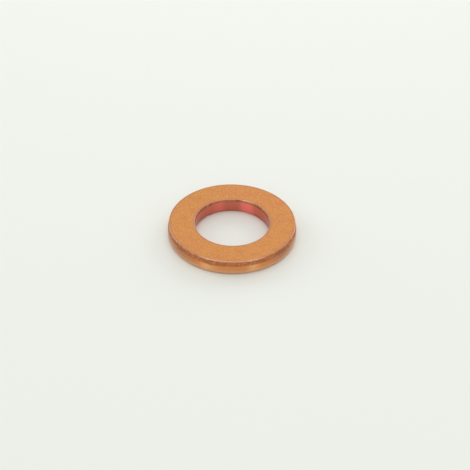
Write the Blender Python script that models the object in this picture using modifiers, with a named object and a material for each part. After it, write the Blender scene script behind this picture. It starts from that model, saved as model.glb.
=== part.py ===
"""Flat copper sealing washer with a 7.5 mm hole, as one blanked and pierced piece. Metres, +Z up.

The washer lies on its lower face, with the origin at the centre of that face. A compound die cut its rim and
its bore in one stroke, so both walls have the three bands of a sheared edge in the same order. At the bottom
is the rolled-over corner where the metal was drawn down, then the burnished band that the tool rubbed, and
above it the torn band, which breaks away at a small taper and ends in the tumbled top edge.
"""

import math

import bpy

# Driving sizes
RIM_DIAMETER = 0.0130
BORE_DIAMETER = 0.0075
THICKNESS = 0.0015

# The rim's wall, from the bottom up
RIM_ROLL_WIDTH = 0.00016
RIM_ROLL_HEIGHT = 0.00015
RIM_BURNISH_HEIGHT = 0.00068
RIM_TEAR_TAPER = 0.00010
RIM_EDGE_RADIUS = 0.00006

# The bore's wall, from the bottom up
BORE_ROLL_WIDTH = 0.00014
BORE_ROLL_HEIGHT = 0.00014
BORE_BURNISH_HEIGHT = 0.00104
BORE_TEAR_TAPER = 0.00005
BORE_EDGE_RADIUS = 0.00006

# Fineness of the turned shape
TURN_STEPS = 144
ROLL_STEPS = 5
EDGE_STEPS = 3
MERGE_DISTANCE = 0.000001

COPPER_COLOUR = (0.68, 0.29, 0.12, 1.0)
COPPER_ROUGHNESS = 0.42


def clear_scene():
    for obj in list(bpy.data.objects):
        bpy.data.objects.remove(obj, do_unlink=True)


def quarter(centre_depth, centre_height, width, height, start_degrees, steps):
    """A quarter of an ellipse in the section, turning anticlockwise, as (depth, height) points."""
    points = []
    for step in range(steps + 1):
        angle = math.radians(start_degrees + 90 * step / steps)
        points.append((centre_depth + width * math.cos(angle), centre_height + height * math.sin(angle)))
    return points


def sheared_wall(roll_width, roll_height, burnish_height, tear_taper, edge_radius):
    """A wall from the top face down to the bottom face, as (depth into the metal, height) points."""
    top_edge = quarter(
        tear_taper + edge_radius, THICKNESS - edge_radius, edge_radius, edge_radius, 90, EDGE_STEPS
    )
    burnish_top = (0, roll_height + burnish_height)
    bottom_roll = quarter(roll_width, roll_height, roll_width, roll_height, 180, ROLL_STEPS)
    return [*top_edge, burnish_top, *bottom_roll]


def section():
    """The closed section as (radius, height) points: down the rim's wall and back up the bore's."""
    rim_wall = sheared_wall(RIM_ROLL_WIDTH, RIM_ROLL_HEIGHT, RIM_BURNISH_HEIGHT, RIM_TEAR_TAPER, RIM_EDGE_RADIUS)
    bore_wall = sheared_wall(
        BORE_ROLL_WIDTH, BORE_ROLL_HEIGHT, BORE_BURNISH_HEIGHT, BORE_TEAR_TAPER, BORE_EDGE_RADIUS
    )
    rim = [(RIM_DIAMETER / 2 - depth, height) for depth, height in rim_wall]
    bore = [(BORE_DIAMETER / 2 + depth, height) for depth, height in reversed(bore_wall)]
    return rim + bore


def copper():
    material = bpy.data.materials.new("copper")
    material.use_nodes = True
    shader = material.node_tree.nodes["Principled BSDF"]
    shader.inputs["Base Color"].default_value = COPPER_COLOUR
    shader.inputs["Metallic"].default_value = 1.0
    shader.inputs["Roughness"].default_value = COPPER_ROUGHNESS
    return material


def washer(collection):
    """The closed section, turned once about the hole's axis."""
    points = section()
    edges = [(index, (index + 1) % len(points)) for index in range(len(points))]
    mesh = bpy.data.meshes.new("washer")
    mesh.from_pydata([(radius, 0, height) for radius, height in points], edges, [])
    mesh.materials.append(copper())
    ring = bpy.data.objects.new("washer", mesh)
    collection.objects.link(ring)

    turn = ring.modifiers.new("turn", "SCREW")
    turn.axis = "Z"
    turn.angle = math.tau
    turn.steps = TURN_STEPS
    turn.render_steps = TURN_STEPS
    turn.use_merge_vertices = True
    turn.merge_threshold = MERGE_DISTANCE
    turn.use_smooth_shade = True
    return ring


def main():
    clear_scene()
    collection = bpy.data.collections.new("copper_sealing_washer")
    bpy.context.scene.collection.children.link(collection)
    washer(collection)


main()
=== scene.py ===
"""A copper sealing washer lying on a pale table top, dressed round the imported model. Metres, +Z up."""

import math
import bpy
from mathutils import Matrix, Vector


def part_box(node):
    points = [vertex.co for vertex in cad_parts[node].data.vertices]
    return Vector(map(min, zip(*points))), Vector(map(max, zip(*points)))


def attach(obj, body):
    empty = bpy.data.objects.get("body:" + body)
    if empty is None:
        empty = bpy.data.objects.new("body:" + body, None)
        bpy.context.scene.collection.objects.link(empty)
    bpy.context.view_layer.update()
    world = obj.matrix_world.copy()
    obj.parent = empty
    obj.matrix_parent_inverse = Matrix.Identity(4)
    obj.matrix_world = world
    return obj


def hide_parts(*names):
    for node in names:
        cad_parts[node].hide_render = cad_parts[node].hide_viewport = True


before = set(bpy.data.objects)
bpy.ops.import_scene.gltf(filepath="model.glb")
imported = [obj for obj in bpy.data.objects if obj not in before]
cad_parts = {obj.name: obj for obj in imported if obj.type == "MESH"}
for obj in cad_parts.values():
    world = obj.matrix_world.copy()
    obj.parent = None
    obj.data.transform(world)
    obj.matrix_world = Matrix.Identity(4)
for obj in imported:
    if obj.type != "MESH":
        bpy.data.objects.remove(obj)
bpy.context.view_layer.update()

from types import SimpleNamespace

import bmesh
import bpy
from mathutils import Quaternion, Vector, noise

# The washer is one ring of soft copper, blanked and pierced from rolled strip by one stroke of a compound
# die. From the bottom up, both walls keep a rolled-over corner, a burnished band that the tool rubbed, and a
# torn band that broke away ragged. Tumbling then rounded the top edges.
MM = 0.001
washer_low, washer_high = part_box("washer")
THICKNESS = washer_high.z - washer_low.z
TOP_EDGE = 0.06 * MM

RIM_RADIUS = washer_high.x
RIM_ROLL = 0.155 * MM
RIM_BURNISH_TOP = 0.83 * MM
RIM_TAPER = 0.10 * MM

BORE_RADIUS = 3.75 * MM
BORE_ROLL = 0.14 * MM
BORE_BURNISH_TOP = 1.18 * MM
BORE_TAPER = 0.05 * MM

TURN_STEPS = 960
SECTORS = 12
EDGE_STEPS = 5
ROLL_STEPS = 8
FACE_ROW = 0.20 * MM
WALL_ROW = 0.11 * MM
TORN_ROW = 0.042 * MM
MERGE_DISTANCE = 0.0001 * MM

# Its section, with the corners rounded and the straight runs cut into rows
ring = bmesh.new()
rim_top = ring.verts.new((RIM_RADIUS - RIM_TAPER, 0, THICKNESS))
rim_tear = ring.verts.new((RIM_RADIUS, 0, RIM_BURNISH_TOP))
rim_bottom = ring.verts.new((RIM_RADIUS, 0, 0))
bore_bottom = ring.verts.new((BORE_RADIUS, 0, 0))
bore_tear = ring.verts.new((BORE_RADIUS, 0, BORE_BURNISH_TOP))
bore_top = ring.verts.new((BORE_RADIUS + BORE_TAPER, 0, THICKNESS))
outline = [rim_top, rim_tear, rim_bottom, bore_bottom, bore_tear, bore_top]
for here, there in zip(outline, outline[1:] + outline[:1]):
    ring.edges.new((here, there))
tear_heights = (rim_tear.co.z, bore_tear.co.z)


def round_off(corner, size, steps):
    bmesh.ops.bevel(
        ring, geom=[corner], offset=size, offset_type="OFFSET", affect="VERTICES",
        segments=steps, profile=0.5, material=-1,
    )


round_off(rim_top, TOP_EDGE, EDGE_STEPS)
round_off(rim_bottom, RIM_ROLL, ROLL_STEPS)
round_off(bore_bottom, BORE_ROLL, ROLL_STEPS)
round_off(bore_top, TOP_EDGE, EDGE_STEPS)
for run in list(ring.edges):
    low, high = sorted(end.co.z for end in run.verts)
    if low == high:
        row = FACE_ROW
    elif low in tear_heights:
        row = TORN_ROW
    else:
        row = WALL_ROW
    cuts = int(run.calc_length() / row)
    if cuts:
        bmesh.ops.subdivide_edges(ring, edges=[run], cuts=cuts)

# One sector is spun from the section, and its copies close the ring
sector = math.tau / SECTORS
bmesh.ops.spin(
    ring, geom=ring.verts[:] + ring.edges[:], cent=(0, 0, 0), axis=(0, 0, 1), angle=sector,
    steps=TURN_STEPS // SECTORS, use_merge=False,
)
bmesh.ops.spin(
    ring, geom=ring.verts[:] + ring.edges[:] + ring.faces[:], cent=(0, 0, 0), axis=(0, 0, 1),
    angle=math.tau - sector, steps=SECTORS - 1, use_duplicate=True,
)
bmesh.ops.remove_doubles(ring, verts=ring.verts, dist=MERGE_DISTANCE)
bmesh.ops.recalc_face_normals(ring, faces=ring.faces)

# Its tear lines run ragged, and a little higher where the tool rubbed the wall hardest. The same rubs place
# the walls' painted light: the rim is painted lighter towards the front, with a painted highlight in two
# spots near it, and the far wall of the bore gets a painted highlight in two spots and a painted darker
# middle. A rub is given by the direction of its middle and its reach to each side, both in degrees, and by
# its strength.
TEAR_WAVE = 1.1 * MM
TEAR_RIPPLE = 0.25 * MM
RIPPLE_SHARE = 0.5
TEAR_RISE = 0.04 * MM
RUB_EVERYWHERE = 0.2
RUB_PATCHES = 0.15
RUB_GRAIN = 2.5 * MM
RIM_WAVER = 0.06 * MM
RIM_RUBS_AND_HIGHLIGHTS = ((268, 80, 0.35), (247, 12, 0.5), (290, 11, 0.5))
BORE_WAVER = 0.03 * MM
BORE_RUBS_AND_HIGHLIGHTS = ((112, 15, 0.3), (66, 18, 0.7), (90, 20, -0.25))
RIM_BREAKAGE = 1.0
BORE_BREAKAGE = 0.5


def swell(place, size, octaves=3):
    """Smooth random height between about -1 and 1, with hills about one size across.

    Each further octave adds hills that are half as wide and half as high.
    """
    fall = 1.0
    shrink = 2.0
    return noise.fractal(place / size, fall, shrink, octaves)


def ease(value, low, high):
    """0 below low, 1 above high, smooth between."""
    share = min(1, max(0, (value - low) / (high - low)))
    return share * share * (3 - 2 * share)


def rub_and_highlight_strength(direction, rubs_and_highlights):
    """How strongly the tool rubbed a wall in this direction, which also sets how bright its painted
    highlights are.
    """
    total = 0
    for middle, reach, strength in rubs_and_highlights:
        away = abs((direction - middle + 180) % 360 - 180)
        total += strength * (1 - ease(away, 0, reach))
    return total


def sheared_wall(radius, into_metal, level, taper, waver, breakage, rubs_and_highlights):
    """A wall's own values, and at each step round it the height of its tear line and its burnish with its
    painted light.
    """
    tear_line = []
    burnish_and_painted_light = []
    for step in range(TURN_STEPS):
        turn = math.tau * step / TURN_STEPS
        place = Vector((radius * math.cos(turn), radius * math.sin(turn), 0))
        rub_and_highlight = rub_and_highlight_strength(math.degrees(turn), rubs_and_highlights)
        burnish_and_painted_light.append(RUB_EVERYWHERE + rub_and_highlight + RUB_PATCHES * swell(place, RUB_GRAIN))
        ragged = swell(place, TEAR_WAVE) + RIPPLE_SHARE * swell(place, TEAR_RIPPLE)
        tear_line.append(level + waver * ragged + TEAR_RISE * rub_and_highlight)
    return SimpleNamespace(
        radius=radius, into_metal=into_metal, level=level, taper=taper, breakage=breakage,
        tear_line=tear_line, burnish_and_painted_light=burnish_and_painted_light,
    )


rim_wall = sheared_wall(
    RIM_RADIUS, into_metal=-1, level=RIM_BURNISH_TOP, taper=RIM_TAPER, waver=RIM_WAVER,
    breakage=RIM_BREAKAGE, rubs_and_highlights=RIM_RUBS_AND_HIGHLIGHTS,
)
bore_wall = sheared_wall(
    BORE_RADIUS, into_metal=1, level=BORE_BURNISH_TOP, taper=BORE_TAPER, waver=BORE_WAVER,
    breakage=BORE_BREAKAGE, rubs_and_highlights=BORE_RUBS_AND_HIGHLIGHTS,
)

# Each point is moved by its wear, and keeps for the finish below whether it is on a wall, in the bore, torn,
# near an edge, at the foot or at the top, the grain of its break, and how bright it is rubbed, which also
# sets its painted light
TEAR_STEP = 0.03 * MM
FADE_BELOW = 0.038 * MM
FADE_ABOVE = 0.152 * MM
BREAK_GRAIN = 0.22 * MM
BREAK_SQUEEZE = 0.7
BREAK_OCTAVES = 4
BREAK_DEPTH = 0.013 * MM
CRUMB_GRAIN = 0.07 * MM
CRUMB_SHARE = 0.5
CRUMB_DEPTH = 0.006 * MM
BREAK_BACKWARD = 0.008 * MM
EDGE_BAND = 0.32 * MM
FOOT_BAND_LOW = 0.10 * MM
FOOT_BAND_HIGH = 0.75 * MM
TOP_BAND_LOW = THICKNESS - 2 * TOP_EDGE
TOP_BAND_HIGH = THICKNESS - TOP_EDGE
FACE_WAVE = 0.003 * MM
FACE_WAVE_LENGTH = 1.6 * MM
MIDDLE_RADIUS = (RIM_RADIUS + BORE_RADIUS) / 2


def lean(height, start, taper):
    """How far the torn band has drawn back into the metal at this height."""
    return taper * max(0, height - start) / (THICKNESS - start)


wear = {}
for name in ("wall", "bore", "torn", "break_grain", "edge", "burnish_and_painted_light", "foot", "top"):
    wear[name] = ring.verts.layers.float.new(name)
for vert in ring.verts:
    place = vert.co.copy()
    height = place.z
    radius = math.hypot(place.x, place.y)
    outward = Vector((place.x, place.y, 0)) / radius
    step = round(math.atan2(place.y, place.x) / math.tau * TURN_STEPS) % TURN_STEPS
    side = rim_wall if radius > MIDDLE_RADIUS else bore_wall
    start = side.tear_line[step]
    depth = side.into_metal * (radius - side.radius)
    on_wall = 1 - ease(depth, side.taper, side.taper + TOP_EDGE)
    torn_here = ease(height, start, start + TEAR_STEP) * on_wall
    shift = lean(height, start, side.taper) - lean(height, side.level, side.taper)
    if torn_here:
        squeezed = Vector((place.x, place.y, height * BREAK_SQUEEZE))
        grain = swell(squeezed, BREAK_GRAIN, BREAK_OCTAVES)
        crumbs = swell(place, CRUMB_GRAIN)
        pit = BREAK_BACKWARD - BREAK_DEPTH * grain - CRUMB_DEPTH * crumbs
        shift += torn_here * side.breakage * pit
        vert[wear["break_grain"]] = grain + CRUMB_SHARE * crumbs
    vert.co += outward * side.into_metal * shift
    vert[wear["wall"]] = on_wall
    vert[wear["torn"]] = ease(height, start - FADE_BELOW, start + FADE_ABOVE) * on_wall
    vert[wear["bore"]] = on_wall if side is bore_wall else 0
    vert[wear["burnish_and_painted_light"]] = side.burnish_and_painted_light[step]
    vert[wear["foot"]] = 1 - ease(height, FOOT_BAND_LOW, FOOT_BAND_HIGH)
    vert[wear["edge"]] = 1 - ease(depth - side.taper, 0, EDGE_BAND)
    vert[wear["top"]] = ease(height, TOP_BAND_LOW, TOP_BAND_HIGH)
    if height > TOP_BAND_HIGH:
        vert.co.z += FACE_WAVE * swell(place, FACE_WAVE_LENGTH)
    elif height == 0:
        vert.co.z += FACE_WAVE * abs(swell(place, FACE_WAVE_LENGTH))

washer_mesh = bpy.data.meshes.new("washer_ring")
ring.to_mesh(washer_mesh)
ring.free()
washer_mesh.shade_smooth()
washer = bpy.data.objects.new("washer_ring", washer_mesh)
bpy.context.scene.collection.objects.link(washer)

# Its finish: tarnished orange faces, brighter burnished bands, a brown torn band and a redder bore, with
# painted highlights, painted shade and painted light laid into the walls' colours, and painted shade along
# the edges of the faces
FACE_ORANGE = (0.69, 0.30, 0.096)
FACE_RED = (0.68, 0.268, 0.096)
FACE_YELLOW = (0.67, 0.315, 0.082)
FACE_DARK = (0.50, 0.185, 0.045)
FACE_GOLD = (0.86, 0.46, 0.18)
# Painted shade: the faces turn darker and duller within about a third of a millimetre of each edge.
FACE_EDGE_PAINTED_SHADE = (0.47, 0.24, 0.13)
# The rim's first colour is painted shade at its sides and back, its burnished colour shows at the front, and
# its bright colour is a painted highlight in two spots near the front.
RIM_PAINTED_SHADE = (0.51, 0.235, 0.12)
RIM_BURNISHED = (0.74, 0.295, 0.105)
RIM_PAINTED_HIGHLIGHT = (0.93, 0.48, 0.21)
# Painted light: the rim turns paler towards its foot.
RIM_PAINTED_FOOT_LIGHT = (0.88, 0.50, 0.30)
# The bore's bright colour is a painted highlight in two spots on its far wall.
BORE_DULL = (0.61, 0.168, 0.107)
BORE_PAINTED_HIGHLIGHT = (0.98, 0.235, 0.205)
# The torn band's darkest colour is painted shade wherever the walls carry no painted highlight, and also the
# colour of its own dark patches.
TORN_DARK_AND_PAINTED_SHADE = (0.437, 0.161, 0.073)
TORN_BROWN = (0.58, 0.203, 0.073)
TORN_BRIGHT = (0.78, 0.35, 0.16)
FRESH_COPPER = (0.92, 0.63, 0.46)

# The sizes of the marks on it: clouds of tarnish, patches, specks, upright scores from the tool, small dents
CLOUD = 1.3 * MM
PATCH = 0.45 * MM
SPECK = 0.085 * MM
SCORE = 0.05 * MM
SCORE_LENGTHS = 40
DENT = 0.07 * MM

# Where each tint starts and where it is full, on the scale of the marks or of the wear that carries it
CLOUD_TINT = (0.40, 0.62)
PATCH_TINT = (0.48, 0.72)
DARK_SPECKS = (0.48, 0.30)
GOLD_SPECKS = (0.52, 0.70)
EDGE_SHADE_TINT = (0.0, 0.9)
RIM_BURNISHED_TINT = (0.2, 0.5)
RIM_HIGHLIGHT_TINT = (0.5, 1.1)
TORN_BROWN_TINT = (0.2, 0.5)
TORN_GRAIN_TINT = (-0.3, 0.9)
TORN_PATCH_TINT = (0.45, 0.65)
RUBBED_EDGE = (0.85, 1.0)
RUBBED_SPECKS = (0.35, 0.6)
HIGHLIGHT_RUB_RANGE = (0.35, 0.9)
WHOLE_RANGE = (0.0, 1.0)
MIDDLE_MARKS = (0.3, 0.7)

# How much of each tint shows at most, or at least and at most
SPECK_SHARE = 0.6
EDGE_SHADE_SHARE = 0.7
FOOT_LIGHT_SHARE = 0.7
TORN_GRAIN_SHARE = 0.8
TORN_PATCH_SHARE = 0.5
RUBBED_SPECK_SHARES = (0.5, 0.9)
HIGHLIGHT_RUB_SHARES = (0.3, 1.0)

FACE_ROUGHNESS = (0.38, 0.52)
WALL_ROUGHNESS = (0.18, 0.28)
TORN_ROUGHNESS = 0.55
RUBBED_ROUGHNESS = 0.26
BUMP_STRENGTH = 0.35
BUMP_DEPTH = 0.006 * MM

copper = bpy.data.materials.new("soft_copper")
copper.use_nodes = True
copper_nodes = copper.node_tree.nodes
copper_links = copper.node_tree.links
shader = copper_nodes["Principled BSDF"]
shader.inputs["Metallic"].default_value = 1.0
object_place = copper_nodes.new("ShaderNodeTexCoord").outputs["Object"]


def feed(socket, value):
    """Sets a socket to a number or a colour, or links it to another node."""
    if isinstance(value, float):
        socket.default_value = value
    elif isinstance(value, tuple):
        socket.default_value = (*value, 1)
    else:
        copper_links.new(value, socket)


def measured(name):
    """A value that the mesh carries at each point."""
    node = copper_nodes.new("ShaderNodeAttribute")
    node.attribute_name = name
    return node.outputs["Fac"]


def marks(size, lengths=1, detail=3.0):
    """Random marks about one size across, and as many times as long upwards as lengths says."""
    mapping = copper_nodes.new("ShaderNodeMapping")
    mapping.inputs["Scale"].default_value = (1 / size, 1 / size, 1 / (size * lengths))
    copper_links.new(object_place, mapping.inputs["Vector"])
    node = copper_nodes.new("ShaderNodeTexNoise")
    node.inputs["Scale"].default_value = 1.0
    node.inputs["Detail"].default_value = detail
    copper_links.new(mapping.outputs["Vector"], node.inputs["Vector"])
    return node.outputs["Fac"]


def spread(value, low, high, least=0.0, most=1.0):
    """Goes smoothly from least to most as a value goes from low to high."""
    node = copper_nodes.new("ShaderNodeMapRange")
    node.interpolation_type = "SMOOTHSTEP"
    copper_links.new(value, node.inputs["Value"])
    node.inputs["From Min"].default_value = low
    node.inputs["From Max"].default_value = high
    node.inputs["To Min"].default_value = least
    node.inputs["To Max"].default_value = most
    return node.outputs["Result"]


def between(share, first, second):
    """A number that goes from the first to the second as share goes from 0 to 1."""
    node = copper_nodes.new("ShaderNodeMix")
    first_number, second_number = node.inputs[2:4]
    mixed_number = node.outputs[0]
    feed(node.inputs["Factor"], share)
    feed(first_number, first)
    feed(second_number, second)
    return mixed_number


def tinted(share, first, second):
    """A colour that goes from the first to the second as share goes from 0 to 1."""
    node = copper_nodes.new("ShaderNodeMix")
    node.data_type = "RGBA"
    first_colour, second_colour = node.inputs[6:8]
    mixed_colour = node.outputs[2]
    feed(node.inputs["Factor"], share)
    feed(first_colour, first)
    feed(second_colour, second)
    return mixed_colour


def both(first, second):
    """The product of two shares."""
    node = copper_nodes.new("ShaderNodeMath")
    node.operation = "MULTIPLY"
    feed(node.inputs[0], first)
    feed(node.inputs[1], second)
    return node.outputs["Value"]


wall = measured("wall")
bore = measured("bore")
torn = measured("torn")
break_grain = measured("break_grain")
edge = measured("edge")
burnish_and_painted_light = measured("burnish_and_painted_light")
top = measured("top")
foot = measured("foot")
clouds = marks(CLOUD)
patches = marks(PATCH)
specks = marks(SPECK, detail=1.0)
scores = marks(SCORE, lengths=SCORE_LENGTHS)

face_colour = tinted(spread(clouds, *CLOUD_TINT), FACE_ORANGE, FACE_RED)
face_colour = tinted(spread(patches, *PATCH_TINT), face_colour, FACE_YELLOW)
face_colour = tinted(spread(specks, *DARK_SPECKS, most=SPECK_SHARE), face_colour, FACE_DARK)
face_colour = tinted(spread(specks, *GOLD_SPECKS, most=SPECK_SHARE), face_colour, FACE_GOLD)
# Painted shade along each edge of the faces.
face_colour = tinted(spread(edge, *EDGE_SHADE_TINT, most=EDGE_SHADE_SHARE), face_colour, FACE_EDGE_PAINTED_SHADE)
# The rim is painted shade at its sides and back, lighter at the front, and a painted highlight in two spots
# near the front.
rim_colour = tinted(spread(burnish_and_painted_light, *RIM_BURNISHED_TINT), RIM_PAINTED_SHADE, RIM_BURNISHED)
rim_colour = tinted(spread(burnish_and_painted_light, *RIM_HIGHLIGHT_TINT), rim_colour, RIM_PAINTED_HIGHLIGHT)
# Painted light on the rim's lower part, palest at its foot.
rim_colour = tinted(spread(foot, *WHOLE_RANGE, most=FOOT_LIGHT_SHARE), rim_colour, RIM_PAINTED_FOOT_LIGHT)
# Painted highlights in two spots on the bore's far wall, with a painted darker middle between them.
bore_colour = tinted(spread(burnish_and_painted_light, *WHOLE_RANGE), BORE_DULL, BORE_PAINTED_HIGHLIGHT)
# Painted shade: the torn band is darker where its wall carries no painted highlight.
torn_colour = tinted(spread(burnish_and_painted_light, *TORN_BROWN_TINT), TORN_DARK_AND_PAINTED_SHADE, TORN_BROWN)
torn_colour = tinted(spread(break_grain, *TORN_GRAIN_TINT, most=TORN_GRAIN_SHARE), torn_colour, TORN_BRIGHT)
torn_colour = tinted(spread(patches, *TORN_PATCH_TINT, most=TORN_PATCH_SHARE), torn_colour, TORN_DARK_AND_PAINTED_SHADE)
colour = tinted(wall, face_colour, tinted(bore, rim_colour, bore_colour))
colour = tinted(torn, colour, torn_colour)

# The top edges are rubbed down to fresh copper, most of all where the tool rubbed hardest. That is also where
# the walls carry their painted highlights, so the fresh copper there is partly a painted highlight.
rubbed_and_highlighted = both(spread(edge, *RUBBED_EDGE), spread(specks, *RUBBED_SPECKS, *RUBBED_SPECK_SHARES))
rubbed_and_highlighted = both(both(rubbed_and_highlighted, top), spread(burnish_and_painted_light, *HIGHLIGHT_RUB_RANGE, *HIGHLIGHT_RUB_SHARES))
feed(shader.inputs["Base Color"], tinted(rubbed_and_highlighted, colour, FRESH_COPPER))

face_roughness = spread(specks, *MIDDLE_MARKS, *FACE_ROUGHNESS)
wall_roughness = spread(scores, *MIDDLE_MARKS, *WALL_ROUGHNESS)
roughness = between(torn, between(wall, face_roughness, wall_roughness), TORN_ROUGHNESS)
feed(shader.inputs["Roughness"], between(rubbed_and_highlighted, roughness, RUBBED_ROUGHNESS))

bump = copper_nodes.new("ShaderNodeBump")
bump.inputs["Strength"].default_value = BUMP_STRENGTH
bump.inputs["Distance"].default_value = BUMP_DEPTH
feed(bump.inputs["Height"], between(wall, marks(DENT), scores))
feed(shader.inputs["Normal"], bump.outputs["Normal"])
washer_mesh.materials.append(copper)

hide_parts("washer")
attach(washer, "root")

# The table top is a plain pale sheet with a faint sheen. The washer lies flat on it, and it fills the view
# round the washer. It is staging and not a piece of the object.
TABLE_HALF = 0.5
TABLE_COLOUR = (0.855, 0.88, 0.82, 1)
TABLE_ROUGHNESS = 0.35
table_grid = bmesh.new()
bmesh.ops.create_grid(table_grid, x_segments=1, y_segments=1, size=TABLE_HALF)
table_mesh = bpy.data.meshes.new("table_top")
table_grid.to_mesh(table_mesh)
table_grid.free()
table_top = bpy.data.objects.new("table_top", table_mesh)
bpy.context.scene.collection.objects.link(table_top)
table_finish = bpy.data.materials.new("pale_table_top")
table_finish.use_nodes = True
table_shader = table_finish.node_tree.nodes["Principled BSDF"]
table_shader.inputs["Base Color"].default_value = TABLE_COLOUR
table_shader.inputs["Roughness"].default_value = TABLE_ROUGHNESS
table_mesh.materials.append(table_finish)

# The light is a pale room with square softboxes in it, each one facing the washer. A strong one hangs almost
# overhead, and three low ones stand behind the washer and draw its shadow forwards.
ROOM_BRIGHTNESS = 0.64
SOFTBOX_DISTANCE = 0.4
world = bpy.data.worlds.new("pale_room")
bpy.context.scene.world = world
world.use_nodes = True
room = world.node_tree.nodes["Background"]
room.inputs["Color"].default_value = (1, 1, 1, 1)
room.inputs["Strength"].default_value = ROOM_BRIGHTNESS


def softbox(name, direction, elevation, side, brightness):
    """A square lamp facing the washer. Direction 0 is +X and 90 is +Y, in degrees. Brightness 1 is white."""
    turn = math.radians(direction)
    rise = math.radians(elevation)
    lamp = bpy.data.lights.new(name, "AREA")
    lamp.shape = "SQUARE"
    lamp.size = side
    lamp.energy = brightness * math.pi * side * side
    stand = bpy.data.objects.new(name, lamp)
    stand.location = Vector(
        (math.cos(turn) * math.cos(rise), math.sin(turn) * math.cos(rise), math.sin(rise))
    ) * SOFTBOX_DISTANCE
    stand.rotation_mode = "QUATERNION"
    stand.rotation_quaternion = (-stand.location).to_track_quat("-Z", "Y")
    bpy.context.scene.collection.objects.link(stand)


softbox("overhead_softbox", direction=90, elevation=84, side=0.34, brightness=1.33)
softbox("rear_right_softbox", direction=50, elevation=16, side=0.24, brightness=2.15)
softbox("back_softbox", direction=90, elevation=16, side=0.20, brightness=0.77)
softbox("rear_left_softbox", direction=150, elevation=16, side=0.24, brightness=1.77)

# The camera looks down at the washer from in front, with the lens, height and distance of the photograph.
# Its aim is a little to the right of the washer's centre and below it, and it is tilted by one degree.
CAMERA_LENS = 137.9
SENSOR_WIDTH = 36
CAMERA_RISE = math.radians(38.3)
CAMERA_DISTANCE = 182.8 * MM
CAMERA_ROLL = math.radians(1.10)
AIM_RIGHT = 0.303 * MM
AIM_UP = -0.131 * MM
NEAREST_SEEN = 0.01
FARTHEST_SEEN = 5
camera_data = bpy.data.cameras.new("camera")
camera_data.lens = CAMERA_LENS
camera_data.sensor_width = SENSOR_WIDTH
camera_data.clip_start = NEAREST_SEEN
camera_data.clip_end = FARTHEST_SEEN
camera = bpy.data.objects.new("camera", camera_data)
bpy.context.scene.collection.objects.link(camera)
bpy.context.scene.camera = camera
back = Vector((0, -math.cos(CAMERA_RISE), math.sin(CAMERA_RISE)))
across = Vector((1, 0, 0))
upward = back.cross(across)
camera.location = back * CAMERA_DISTANCE + across * AIM_RIGHT + upward * AIM_UP
camera.rotation_mode = "QUATERNION"
camera.rotation_quaternion = (-back).to_track_quat("-Z", "Y") @ Quaternion((0, 0, 1), CAMERA_ROLL)

bpy.context.scene.view_settings.view_transform = "Standard"
